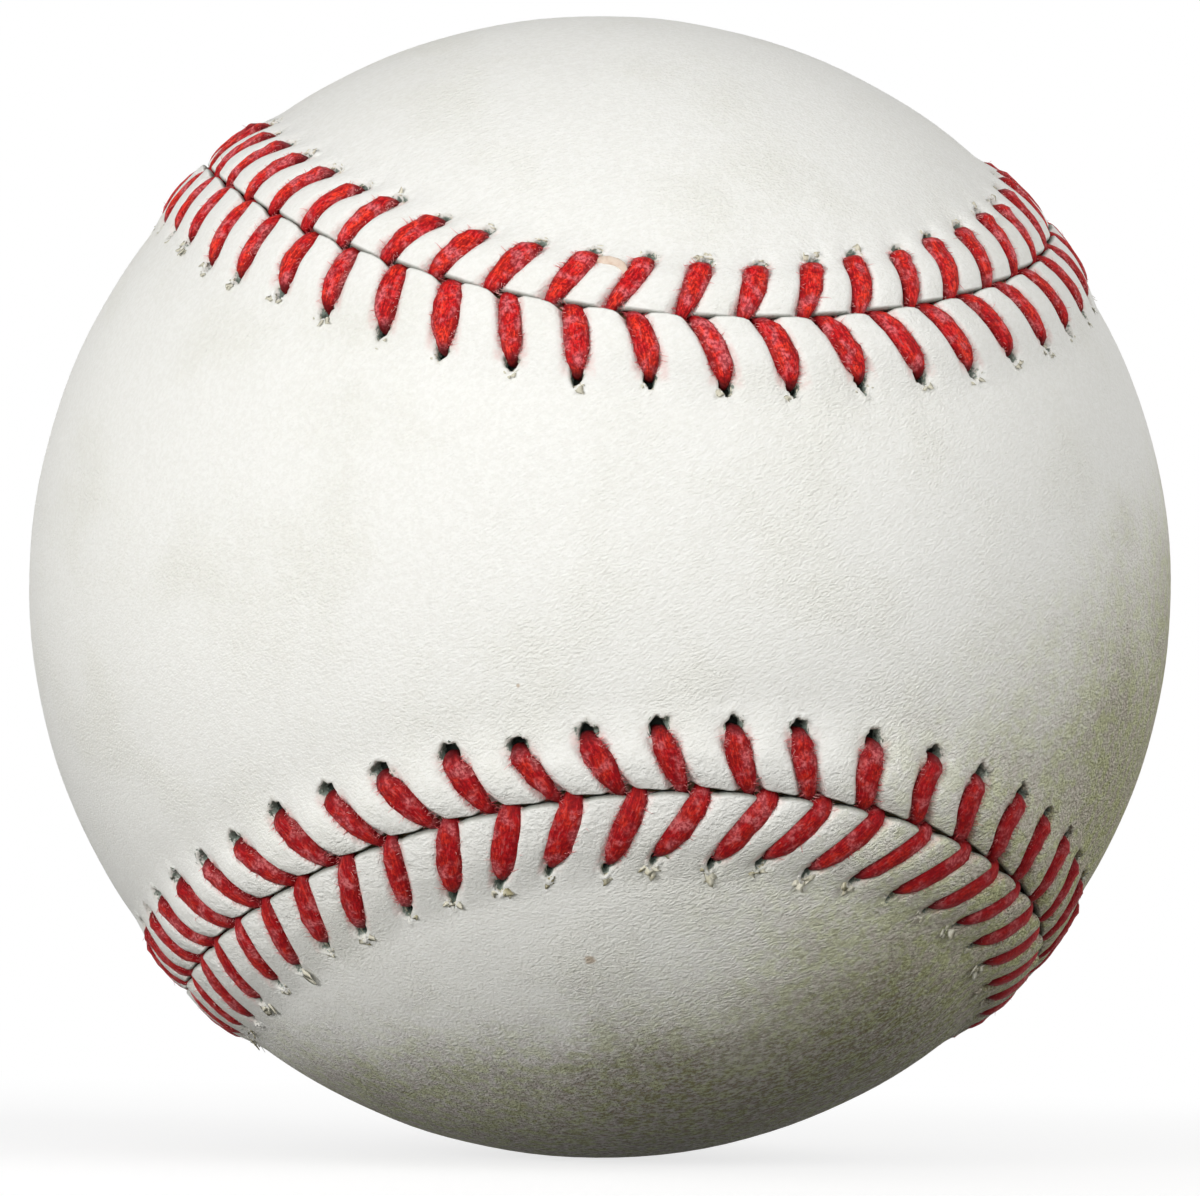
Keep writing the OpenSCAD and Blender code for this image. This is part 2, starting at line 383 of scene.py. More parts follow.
def makeWound():  # yarn wound over a ball in bundles that cross each other
    group, given, result = newGroup("wound",
        {"Vector": ("Vector", None), "Yarn Width": ("Float", 1.2 * mm), "Bundles": ("Float", 130.0)},
        ["Height", "Shade"])
    total, shade = None, None
    for layer, turn in enumerate(((0.3, 1.1, 0.2), (1.9, 0.4, 2.3))):
        tilt = addNode(group, "VectorRotate", {"rotation_type": "EULER_XYZ"}, Vector=given["Vector"],
            Rotation=turn)
        patch = addNode(group, "TexVoronoi", Vector=tilt.outputs[0], Scale=given["Bundles"])
        axis = vectors(group, "SUBTRACT", patch.outputs["Color"], (0.5, 0.5, 0.5))["Vector"]
        level = vectors(group, "NORMALIZE", axis)["Vector"]
        across = vectors(group, "DOT_PRODUCT", given["Vector"], level)["Value"]
        strands = sums(group, "DIVIDE", across, given["Yarn Width"])
        rounded = sums(group, "ABSOLUTE", sums(group, "SINE", times(group, strands, math.pi)))
        here = times(group, sums(group, "POWER", rounded, 0.6), 1.0 if layer == 0 else 0.8)
        tone = parts(group, patch.outputs["Color"])["X"]
        total = here if total is None else sums(group, "MAXIMUM", total, here)
        shade = tone if shade is None else times(group, plus(group, shade, tone), 0.5)
    feed(group, result["Height"], total)
    feed(group, result["Shade"], shade)
    return group


hideGrain = makeHideGrain()
soilAndShade = makeSoilAndShade()
fibres = makeFibres()
wound = makeWound()
print("shared effects ready")


# sheets and tubes

def band(bm, around, rings):  # a flat sheet, to be laid in rings round something, as rows of its corners
    made = bmesh.ops.create_grid(bm, x_segments=around, y_segments=rings - 1, size=1)["verts"]
    return [made[i * (around + 1):(i + 1) * (around + 1)] for i in range(rings)]


def closeBand(bm, rings):
    bmesh.ops.weld_verts(bm, targetmap={ring[-1]: ring[0] for ring in rings})
    return [ring[:-1] for ring in rings]


def sheaf(bm, count, sides, points):  # many small closed tubes out of one sheet, by tube, row and side
    sheet = band(bm, count * (sides + 1) - 1, points.shape[1])
    owner = {}
    close = {}
    for row, ring in enumerate(sheet):
        for i, v in enumerate(ring):
            tube, corner = divmod(i, sides + 1)
            owner[v] = tube
            v.co = points[tube, row, corner % sides]
            if corner == sides:
                close[v] = ring[i - sides]
    apart = [f for f in bm.faces if len({owner[v] for v in f.verts}) > 1]
    bmesh.ops.delete(bm, geom=apart, context="FACES")
    bmesh.ops.weld_verts(bm, targetmap=close)
    bmesh.ops.holes_fill(bm, edges=[e for e in bm.edges if e.is_boundary], sides=sides)
    bmesh.ops.recalc_face_normals(bm, faces=bm.faces)


def finished(bm, name, nodeName=None, slot=None, material=None):
    for f in bm.faces:
        f.smooth = True
    mesh = bpy.data.meshes.new(name)
    bm.to_mesh(mesh)
    bm.free()
    obj = bpy.data.objects.new(name, mesh)
    bpy.context.scene.collection.objects.link(obj)
    if slot:
        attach(obj, "root")
    if nodeName:
        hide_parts(nodeName)
    if material:
        mesh.materials.append(material)
    print(name, len(mesh.polygons), "faces")
    return obj


# the leather

leather = {
    "colour": (0.86, 0.855, 0.82),
    # ageing in patches, and a painted shade tint on the torn flakes
    "agedAndShaded": (0.80, 0.79, 0.69),
    # painted warm shade on the lower right side
    "warmShade": (0.70, 0.685, 0.50),
    # painted shade on the underside
    "paintedShade": (0.62, 0.61, 0.53),
    "olive": (0.90, 0.95, 0.66),  # what this and the next leave of the colour below them
    "violetGrey": (0.98, 0.90, 1.0),
    # painted shade and dirt in the seam
    "seamShadeAndDirt": (0.16, 0.175, 0.14),
    # dirt round the holes, and painted shading of the grain in the mottling
    "dirtAndGrainShade": (0.40, 0.36, 0.26),
    "dyed": (0.72, 0.36, 0.33),  # where the red thread has rubbed off
    "holeEdge": (0.20, 0.25, 0.21),  # dark grey-green on the ragged edges of the holes
    "holeShade": (0.014, 0.020, 0.015),  # painted shade inside them
    "grain": 0.48,  # how strong it is where the hide is clean, and how much it gains elsewhere
    "grainWhere": {"Shaded Side": 2.9, "Shaded Underside": 2.2, "Patches": 0.4},
    "grainDepth": 0.10 * mm,
    "mottle": 0.08,  # the same for its mottling
    "mottleWhere": {"Shaded Side": 0.60, "Shaded Underside": 0.75},
    "spotBrown": (0.36, 0.22, 0.10),
    "spots": [((-0.319, -0.921, -0.221), 0.12 * mm), ((-0.159, -0.743, -0.65), 0.34 * mm)],
    "puffHeight": 0.56 * mm,  # of the leather between the legs, and of its crown over that
    "puffCrown": 0.05 * mm,
    "puffFrom": 2.0 * mm,  # distances from the seam between which it falls off
    "puffTo": 6.2 * mm,
    "puffSides": (0.10, 0.27),  # in stitches from a leg
    "room": 0.08,  # in stitches that the puffs leave beside the holes of the legs that stand
    "valley": 0.06 * mm,  # height under the legs
    "drawnIn": 0.05 * mm,  # beyond the holes
    "drawnInAt": 6.1 * mm,
    "notch": 0.18 * mm,  # how deep and how far back the edge gives way where the threads cross
    "notchOpens": 0.26 * mm,
    "lip": 0.16 * mm,  # rounding of the turned-down edge
    "lipDepth": 0.26 * mm,
    "gap": 0.015 * mm,  # half the gap between the panels, at the least
    "dip": 0.22 * mm,  # of the edge that tucks under the other
    "crevice": 0.10 * mm,  # half of what it opens by beside each crossing
    "pitAcross": 0.48 * mm,  # half the size of a needle hole
    "pitAlong": 0.58 * mm,
    "pitShift": -0.05 * mm,  # of its middle from the holes' distance
    "pitDepth": 0.95 * mm,
    "rim": 0.15 * mm,  # height of what is torn up beyond the hole
    "rimRound": 0.04 * mm,  # and all round it
    "inside": 35.85 * mm,  # radius of its underside
    "groove": 36.60 * mm,  # the same where the threads pass under it
    "rail": 32,  # columns at the end of each lobe, on top and on the underside
    "underRail": 12,
    "ripple": 0.045 * mm,  # height and size of the soft unevenness
    "rippleSize": 5.0 * mm,
    "rings": [0.95, 1.3, 1.7, 2.15, 2.6, 3.05, 3.45, 3.8, 4.05, 4.25, 4.42, 4.58, 4.74, 4.9, 5.06, 5.22,
        5.38, 5.54, 5.7, 5.88, 6.1, 6.45, 7.0, 7.9, 9.1],  # distances from the seam, in mm
}


def pitSize(side, column):  # half the hole's width and length, and how much it narrows at its far end
    hangs = 0.5 + 0.5 * low(side, column)
    hidden = (1 - hangs) * (side < 0)
    wide = leather["pitAcross"] * (1.15 - 0.30 * hangs)
    far = leather["pitAlong"] * (1 - 0.48 * hidden)
    return wide, far, 0.15 + 0.40 * hangs


def pitReach(side, column, aside):  # 1 at the rim of a needle hole, 0 in its middle
    across = ((column + 0.5) % 1 - 0.5) * pitch
    beyond = aside - holeDistance
    wide, far, narrows = pitSize(side, column)
    narrow = 1 - narrows * smooth(beyond, -0.2 * mm, 0.7 * mm)
    return np.hypot(across / wide / narrow, (beyond - leather["pitShift"]) / far)


def leatherPlace(side, column, aside, drop=0.0):
    u = np.abs((column + 0.5) % 1 - 0.5)
    cross = (column - side * crossLead + 0.5) % 1 - 0.5
    stands = 0.5 - 0.5 * low(side, column)
    notch = bell(cross, 0.17) * (1 - smooth(aside, 0.3 * mm, 1.5 * mm))
    room = leather["room"] * stands * bell(aside - holeDistance, 1.5 * mm)
    between = smooth(u - room, *leather["puffSides"])
    swell = 1 - smooth(aside, leather["puffFrom"], leather["puffTo"])
    swell = swell * eased(hand[side]["puff"], column)
    height = leather["valley"] * swell + (leather["puffHeight"] - leather["valley"]) * between * swell
    height += leather["puffCrown"] * bell(u - 0.5, 0.16) * swell
    drawn = bell(aside - leather["drawnInAt"], 1.1 * mm) * (0.45 + 0.55 * bell(u, 0.2))
    height -= leather["drawnIn"] * drawn
    stitch, off = sewn(side, column, aside)
    flat, _ = seamPlace(stitch, off)
    reach = pitReach(side, column, aside) * (1 + 0.20 * wobble(flat * radius, 0.65 * mm, 5))
    outward = smooth(aside, holeDistance - 0.5 * mm, holeDistance + 0.3 * mm)
    burst = eased(hand[side]["burst"], column) * (0.65 + 0.35 * wobble(flat * radius, 0.6 * mm, 8))
    height += leather["rim"] * burst * outward * bell(reach - 1.33, 0.26)
    height += leather["rimRound"] * bell(reach - 1.3, 0.3)
    height -= leather["pitDepth"] * (1 - smooth(reach, 0.55, 1.05))
    height -= leather["notch"] * notch
    height -= leather["dip"] * bell(aside, 0.55 * mm) * stands
    beside = bell(cross + 0.30 * low(1, column), 0.10) * bell(aside, 0.5 * mm)
    apart = eased(hand[side]["gap"], column) * bell(aside, 0.8 * mm)
    apart = apart + leather["crevice"] * beside * (1 - 0.45 * low(1, column))
    way, _ = seamPlace(stitch, off + side * (leather["notchOpens"] * notch + apart))
    return way * (radius + height - drop)[..., None], reach


def columnTable():  # closest together at the legs
    half = [0, 0.033, 0.067, 0.105, 0.15, 0.20, 0.26, 0.34]
    share = np.array([*half, 0.5, *(1 - x for x in reversed(half[1:]))])
    return (np.arange(stitches)[:, None] + share[None, :]).ravel()


def ripple(points, side):  # soft unevenness of the hide
    shift = Vector((side * 7.3, 0, 0))
    found = [noise.noise(Vector(p / leather["rippleSize"]) + shift) for p in points]
    return np.array(found) * leather["ripple"]


def closeLobes(bm, ring, side, rail):  # a sheet between the two long sides of a panel's inner ring
    around = len(ring)
    long = around // 2 - rail
    start = (stitches // 4 if side > 0 else 0) * around // stitches - rail // 2
    at = [ring[(start + i) % around] for i in range(around + 1)]
    known = set(bm.faces)
    rows = band(bm, long, rail + 1)
    inner = []
    onto = {}
    for j, row in enumerate(rows):
        for i, v in enumerate(row):
            if j == 0:
                onto[v] = at[rail + i]
            elif j == rail:
                onto[v] = at[around - i]
            elif i == 0:
                onto[v] = at[rail - j]
            elif i == long:
                onto[v] = at[rail + long + j]
            else:
                v.co = at[rail + i].co.lerp(at[around - i].co, j / rail)
                inner.append(v)
    bmesh.ops.weld_verts(bm, targetmap=onto)
    return inner, [f for f in bm.faces if f not in known]


# rings of distance from the seam in mm, places and reach of the holes, from below round the edge to the top
def panelRings(side, columns):
    zero = np.zeros(len(columns))
    deep, groove = leather["inside"], leather["groove"]
    pillar = deep + (groove - deep) * smooth(np.abs((columns + 0.5) % 1 - 0.5), 0.14, 0.2)
    under = [(9.1, deep), (6.2, groove), (5.8, pillar), (3.8, pillar), (3.4, groove), (0.1, groove)]
    rings = []
    for aside, level in under:
        points, _ = leatherPlace(side, columns, zero + aside * mm)
        rings.append((0.0, unit(points) * (zero + level)[:, None], zero + 4))
    turn = np.radians([0, 24, 48, 70, 90])
    edge = leather["gap"] + leather["lip"] * (1 - np.cos(turn))
    lips = zip(edge, leather["lipDepth"] * (1 - np.sin(turn)))
    for aside, drop in [*lips, *((aside * mm, 0) for aside in leather["rings"])]:
        points, reach = leatherPlace(side, columns, zero + aside, zero + drop)
        soft = ripple(points, side) * smooth(aside, 0.4 * mm, 1.2 * mm)
        points = points + unit(points) * soft[:, None]
        rings.append((aside / mm, points, np.minimum(reach, 4)))
    return rings


def makePanel(side):
    columns = np.append(columnTable(), stitches)
    rings = panelRings(side, columns)
    bm = bmesh.new()
    sewnAt = bm.loops.layers.float_vector.new("sewnAt")
    sheet = band(bm, len(columns) - 1, len(rings))
    place = {}
    for ring, (aside, points, reach) in zip(sheet, rings):
        for v, p, column, far in zip(ring, points, columns, reach):
            v.co = p
            place[v] = (column, aside, far)
    for f in bm.faces:
        for corner in f.loops:
            corner[sewnAt] = place[corner.vert]
    sheet = closeBand(bm, sheet)
    inner, faces = closeLobes(bm, sheet[-1], side, leather["rail"])
    for v, soft in zip(inner, ripple(np.array([v.co.normalized() * radius for v in inner]), side)):
        v.co = v.co.normalized() * (radius + soft)
    for f in faces:
        for corner in f.loops:
            corner[sewnAt] = (0, 12, 4)  # far from the seam and from any hole
    inner, _ = closeLobes(bm, sheet[0], side, leather["underRail"])
    for v in inner:
        v.co = v.co.normalized() * leather["inside"]
    bmesh.ops.recalc_face_normals(bm, faces=bm.faces)
    return bm


def leatherMaterial():
    mat, tree, shader, where = newMaterial("whiteLeather", leather["colour"], 0.6, 0.22)
    sewnAt = parts(tree, attribute(tree, "sewnAt").outputs["Vector"])
    column, aside, reach = sewnAt["X"], sewnAt["Y"], sewnAt["Z"]
    grain = useGroup(tree, hideGrain, Vector=where)
    soilAndShadeMasks = useGroup(tree, soilAndShade, Vector=where)
    # the grain stands up more on the soiled patches and in the painted shade of the lower right side and the
    # underside, and the hide is wrinkled beside the seam
    swollen = leather["grain"]
    for name, share in leather["grainWhere"].items():
        swollen = plus(tree, swollen, times(tree, soilAndShadeMasks[name], share))
    lower = ramp(tree, parts(tree, where)["Z"], 0.0, -14 * mm, 0.35, 1.0)
    wrinkles = noiseOf(tree, where, 1300.0, 3.0, 0.7)
    wrinkles = times(tree, wrinkles, ramp(tree, aside, 4.6, 1.2, 0.0, 2.2))
    height = plus(tree, times(tree, grain["Height"], swollen), times(tree, wrinkles, lower))
    bump(tree, shader, height, 1.0, leather["grainDepth"])
    # ageing in patches, painted shade with a warm yellow tint on the lower right side and a grey one on the
    # underside, olive and violet mottling within that painted shade, and the mottled grain
    colour = blend(tree, times(tree, soilAndShadeMasks["Patches"], 0.25), leather["colour"], leather["agedAndShaded"])
    colour = blend(tree, soilAndShadeMasks["Shaded Side"], colour, leather["warmShade"])
    colour = blend(tree, soilAndShadeMasks["Shaded Underside"], colour, leather["paintedShade"])
    stain = noiseOf(tree, where, 1000.0, 4.0, 0.65)
    paintedShade = sums(tree, "MAXIMUM", soilAndShadeMasks["Shaded Side"], soilAndShadeMasks["Shaded Underside"])
    greener = times(tree, ramp(tree, stain, 0.47, 0.60), paintedShade)
    colour = blend(tree, greener, colour, leather["olive"], "MULTIPLY")
    greyer = times(tree, ramp(tree, stain, 0.51, 0.38), paintedShade)
    colour = blend(tree, greyer, colour, leather["violetGrey"], "MULTIPLY")
    # the grain's mottling grows in the painted shade, as painted shading of the grain where the lamps hardly
    # reach
    uneven = leather["mottle"]
    for name, share in leather["mottleWhere"].items():
        uneven = plus(tree, uneven, times(tree, soilAndShadeMasks[name], share))
    colour = blend(tree, times(tree, grain["Mottle"], uneven), colour, leather["dirtAndGrainShade"], "MULTIPLY")
    # dye from the thread beside each leg
    part = sums(tree, "FRACT", plus(tree, column, 0.5))
    across = times(tree, sums(tree, "SUBTRACT", part, 0.5), pitch / mm)
    across = sums(tree, "ABSOLUTE", across)
    smudge = noiseOf(tree, where, 1500.0, 3.0, 0.6)
    dye = times(tree, ramp(tree, across, 1.15, 0.7), ramp(tree, smudge, 0.38, 0.62, 0.05, 0.4))
    dye = times(tree, dye, ramp(tree, aside, 4.9, 4.2))
    colour = blend(tree, dye, colour, leather["dyed"])
    # painted shade and dirt along the seam, dirt round the holes, a dark grey-green ragged edge at their
    # rims and painted shade inside them
    # painted shade and dirt along the seam
    colour = blend(tree, ramp(tree, aside, 0.0, 0.22, 0.8, 0.0), colour, leather["seamShadeAndDirt"])
    ragged = sums(tree, "SUBTRACT", noiseOf(tree, where, 3600.0, 3.0, 0.65), 0.5)
    ragged = times(tree, ragged, 0.9)
    torn = plus(tree, reach, ragged)
    colour = blend(tree, ramp(tree, torn, 1.0, 1.6, 0.2, 0.0), colour, leather["dirtAndGrainShade"])
    colour = blend(tree, ramp(tree, torn, 0.90, 1.06, 0.95, 0.0), colour, leather["holeEdge"])
    # painted shade inside the needle holes
    colour = blend(tree, ramp(tree, torn, 0.56, 0.82, 1.0, 0.0), colour, leather["holeShade"])
    # two small brown spots
    for way, size in leather["spots"]:
        gap = vectors(tree, "DISTANCE", where, Vector(way).normalized() * radius)["Value"]
        edge = plus(tree, gap, times(tree, ragged, size))
        spot = ramp(tree, edge, size * 0.5, size * 1.3, 0.6, 0.0)
        colour = blend(tree, spot, colour, leather["spotBrown"])
    tree.links.new(colour, shader.inputs["Base Color"])
    return mat


whiteLeather = leatherMaterial()
for name, solid, side in (("frontLeather", "front_cover_panel", 1), ("backLeather", "back_cover_panel", -1)):
    finished(makePanel(side), name, solid, "leather", whiteLeather)


# the leather torn up round the holes

torn = {
    # the hide where it is torn, and deeper in it
    "frontTornLeather": ((0.36, 0.40, 0.33), (0.12, 0.15, 0.12)),
    "backTornLeather": ((0.74, 0.71, 0.58), (0.40, 0.36, 0.22)),
    "paleTop": (0.74, 0.69, 0.55),  # and towards the top of the ball
    "each": 7,  # flakes to a hole
    "length": (0.16 * mm, 0.50 * mm),
    "width": (0.11 * mm, 0.30 * mm),
    "thickness": 0.03 * mm,
    "spread": 1.9,  # to each side of straight outward, in radians
    "rise": 0.28,  # at the most, as a share of the length
    "sunk": 0.08 * mm,  # how deep they start in the leather
    "slip": 0.45,  # how crooked they are, as a share of the width
    "taper": ((0, 1), (0.35, 1.0), (0.7, 0.75), (1.0, 0.25)),  # shares of the length and of the width
}


def makeFlakes(side):
    pick = np.random.default_rng(21 + side)
    each = torn["each"]
    leg = np.repeat(np.arange(stitches), each).astype(float)
    turn = np.tile(np.linspace(-1, 1, each), stitches) * torn["spread"] + pick.normal(0, 0.25, len(leg))
    wide, far, narrows = pitSize(side, leg)
    rimX = np.sin(turn) * wide * (1 - narrows / 2)
    rimY = leather["pitShift"] + np.cos(turn) * far
    foot, _ = leatherPlace(side, leg + rimX / pitch, holeDistance + rimY)
    beyond = np.cos(turn) * 0.45 * mm
    away, _ = leatherPlace(side, leg + rimX * 2.2 / pitch, holeDistance + rimY + beyond)
    up = unit(foot)
    out = unit(away - foot - ((away - foot) * up).sum(-1, keepdims=True) * up)
    aside = np.cross(out, up)
    burst = hand[side]["burst"][leg.astype(int)]
    large = np.clip(low(side, leg), 0, 1) * (side < 0)
    length = pick.uniform(*torn["length"], len(leg))
    length = length * (0.5 + 0.6 * burst) * (1.1 + 0.4 * low(side, leg))
    width = pick.uniform(*torn["width"], len(leg)) * (1 + 0.4 * large)
    rise = length * pick.uniform(0.0, torn["rise"], len(leg))
    base = unit(foot) * np.maximum(np.linalg.norm(foot, axis=1), radius - 0.25 * mm)[:, None]
    rows = []
    for t, wide in torn["taper"]:
        slip = pick.normal(0, torn["slip"], len(leg)) * width * t
        lift = rise * t ** 1.4 - torn["sunk"] * (1 - t)
        middle = base + aside * slip[:, None] + out * (length * t)[:, None] + up * lift[:, None]
        w = aside * (width * wide)[:, None]
        d = up * torn["thickness"] * (1 - 0.6 * t)
        rows.append(np.stack([middle + w, middle + d, middle - w, middle - d], 1))
    bm = bmesh.new()
    sheaf(bm, len(leg), 4, np.stack(rows, 1))
    return bm


def tornMaterial(name, base, raw):
    mat, tree, shader, where = newMaterial(name, base, 0.8, 0.15)
    grain = useGroup(tree, hideGrain, Vector=where, Pebbles=5200.0, **{"Crease Depth": 0.2})
    soilAndShadeMasks = useGroup(tree, soilAndShade, Vector=where)
    colour = blend(tree, ramp(tree, noiseOf(tree, where, 1300.0, 2.0), 0.42, 0.66), base, raw)
    # paler towards the top of the ball
    paleTop = ramp(tree, parts(tree, where)["Z"], -6 * mm, 6 * mm, 0.0, 0.75)
    colour = blend(tree, paleTop, colour, torn["paleTop"])
    # painted shade tint on the flakes of the lower right side
    colour = blend(tree, times(tree, soilAndShadeMasks["Shaded Side"], 0.4), colour, leather["agedAndShaded"])
    tree.links.new(colour, shader.inputs["Base Color"])
    bump(tree, shader, grain["Height"], 0.6, 0.05 * mm)
    return mat


for side, name, looks in ((1, "frontTornLeather", "stainedHide"), (-1, "backTornLeather", "rawHide")):
    finished(makeFlakes(side), name, slot="leather", material=tornMaterial(looks, *torn[name]))


# the two threads

thread = {
    "colour": (0.70, 0.012, 0.014),
    "bright": (0.94, 0.045, 0.018),
    "rosy": (0.74, 0.085, 0.120),
    "worn": (0.84, 0.28, 0.27),
    "crimson": (0.18, 0.002, 0.006),
    # painted shade and dirt where the legs go into their holes
    "holeShade": (0.07, 0.004, 0.006),
    "sides": 15,
    "plies": 3,
    "plyDepth": 0.07,
    "twist": 5.0 * mm,  # length of one turn of the plies
    "fray": 0.035,  # unevenness of its surface, as a share
    "legEnd": 4.25 * mm,  # from the seam, where the thread goes down into its hole
    # how much wider the legs are at the hole, and how much of that they lose where they hang
    "blunt": 0.21,
    "bluntLoss": {1: 0.25, -1: 0.41},
    "bluntReach": 0.14,  # as a share of the leg
    "broad": 0.17,  # how much broader they are at the seam where they hang
    "shoulder": 0.10,  # mm that the legs that stand rise at the hole
}
# share of the way from the hole to the seam, then height over the ball, half width, half thickness, in mm
legStations = [
    (0.000, -0.82, 0.34, 0.30),
    (0.000, -0.52, 0.34, 0.31),
    (0.010, -0.22, 0.37, 0.32),
    (0.050, -0.01, 0.46, 0.33),
    (0.115, 0.14, 0.58, 0.35),
    (0.200, 0.23, 0.69, 0.37),
    (0.300, 0.28, 0.77, 0.39),
    (0.410, 0.31, 0.81, 0.40),
    (0.520, 0.32, 0.81, 0.40),
    (0.630, 0.31, 0.78, 0.40),
    (0.730, 0.28, 0.73, 0.39),
    (0.820, 0.22, 0.66, 0.37),
    (0.900, 0.11, 0.58, 0.35),
    (0.965, -0.07, 0.48, 0.33),
    (1.020, -0.34, 0.40, 0.32),
    (1.070, -0.64, 0.37, 0.31)]
# the same below the leather, as a share of the way from one panel's hole to the other's
underStations = [
    (0.25, -0.76, 0.34, 0.30),
    (0.60, -0.76, 0.34, 0.30),
    (0.90, -0.78, 0.34, 0.30)]


# rows of stitch, distance from the seam, height, half width, half thickness and share of the leg or -1
def threadRows(first):
    rows = []
    for k in range(stitches):
        side = first if k % 2 == 0 else -first
        wide = hand[side]["width"][k]
        for share, h, w, d in legStations:
            s, a = sewn(side, np.array(float(k)), np.array(thread["legEnd"] * (1 - share)))
            hangs = low(side, k)  # broad at the seam and slender at the hole, or the other way about
            blunt = thread["blunt"] - thread["bluntLoss"][side] * hangs
            w *= 1 + thread["broad"] * hangs * smooth(share, 0.5, 1.0)
            w *= 1 + blunt * smooth(share, -0.03, 0.01) * math.exp(-share / thread["bluntReach"])
            h += thread["shoulder"] * (1 - hangs) * bell(share - 0.09, 0.09)
            w *= 1 + (wide - 1) * smooth(share, 0.0, 0.3)
            rows.append((s, a, h * mm, w * mm, d * mm, share))
        if k == stitches - 1:
            break
        s0, a0 = rows[-1][:2]
        s1, a1 = sewn(-side, np.array(float(k + 1)), np.array(thread["legEnd"]))
        for share, h, w, d in underStations:
            rows.append((s0 + (s1 - s0) * share, a0 + (a1 - a0) * share, h * mm, w * mm, d * mm, -1))
    return np.array(rows, float).T


def threadCourse(first):  # the thread's own frame at every row
    stitch, aside, height, half, thick, share = threadRows(first)
    way, along = seamPlace(stitch, aside)
    middle = way * (radius + height)[:, None]
    step = np.diff(middle, axis=0)
    course = unit(unit(np.concatenate([step[:1], step])) + unit(np.concatenate([step, step[-1:]])))
    width = unit(along - (along * course).sum(-1, keepdims=True) * course)
    depth = np.cross(course, width)
    length = np.concatenate([[0], np.cumsum(np.linalg.norm(step, axis=1))])
    return {"middle": middle, "course": course, "width": width, "depth": depth, "way": way,
        "half": half, "thick": thick, "share": share, "length": length}


def makeThread(course, seed):
    sides = thread["sides"]
    turn = np.arange(sides) * 2 * math.pi / sides
    length = course["length"]
    twisted = turn[None, :] - 2 * math.pi * (length / thread["twist"])[:, None]
    ply = np.abs(np.sin(twisted * thread["plies"] / 2))
    swell = 1 - thread["plyDepth"] + thread["plyDepth"] * 1.6 * (ply ** 0.7 - 0.3)
    swell = swell + np.random.default_rng(seed).normal(0, thread["fray"], swell.shape)
    across = np.cos(turn)[None, :] * course["half"][:, None] * swell
    deep = np.sin(turn)[None, :] * course["thick"][:, None] * swell
    points = (course["middle"][:, None, :] + course["width"][:, None, :] * across[..., None]
        + course["depth"][:, None, :] * deep[..., None])
    bm = bmesh.new()
    strand = bm.verts.layers.float_vector.new("strand")
    leg = bm.verts.layers.float.new("leg")
    sheet = band(bm, sides, len(points))
    for ring, row, far, share in zip(sheet, points, length, course["share"]):
        for i, v in enumerate(ring):
            v.co = row[i % sides]
            v[strand] = (math.cos(turn[i % sides]), math.sin(turn[i % sides]), far / mm)
            v[leg] = share
    sheet = closeBand(bm, sheet)
    for ring in (sheet[0], sheet[-1]):
        bmesh.ops.contextual_create(bm, geom=ring)
    bmesh.ops.recalc_face_normals(bm, faces=bm.faces)
    return bm


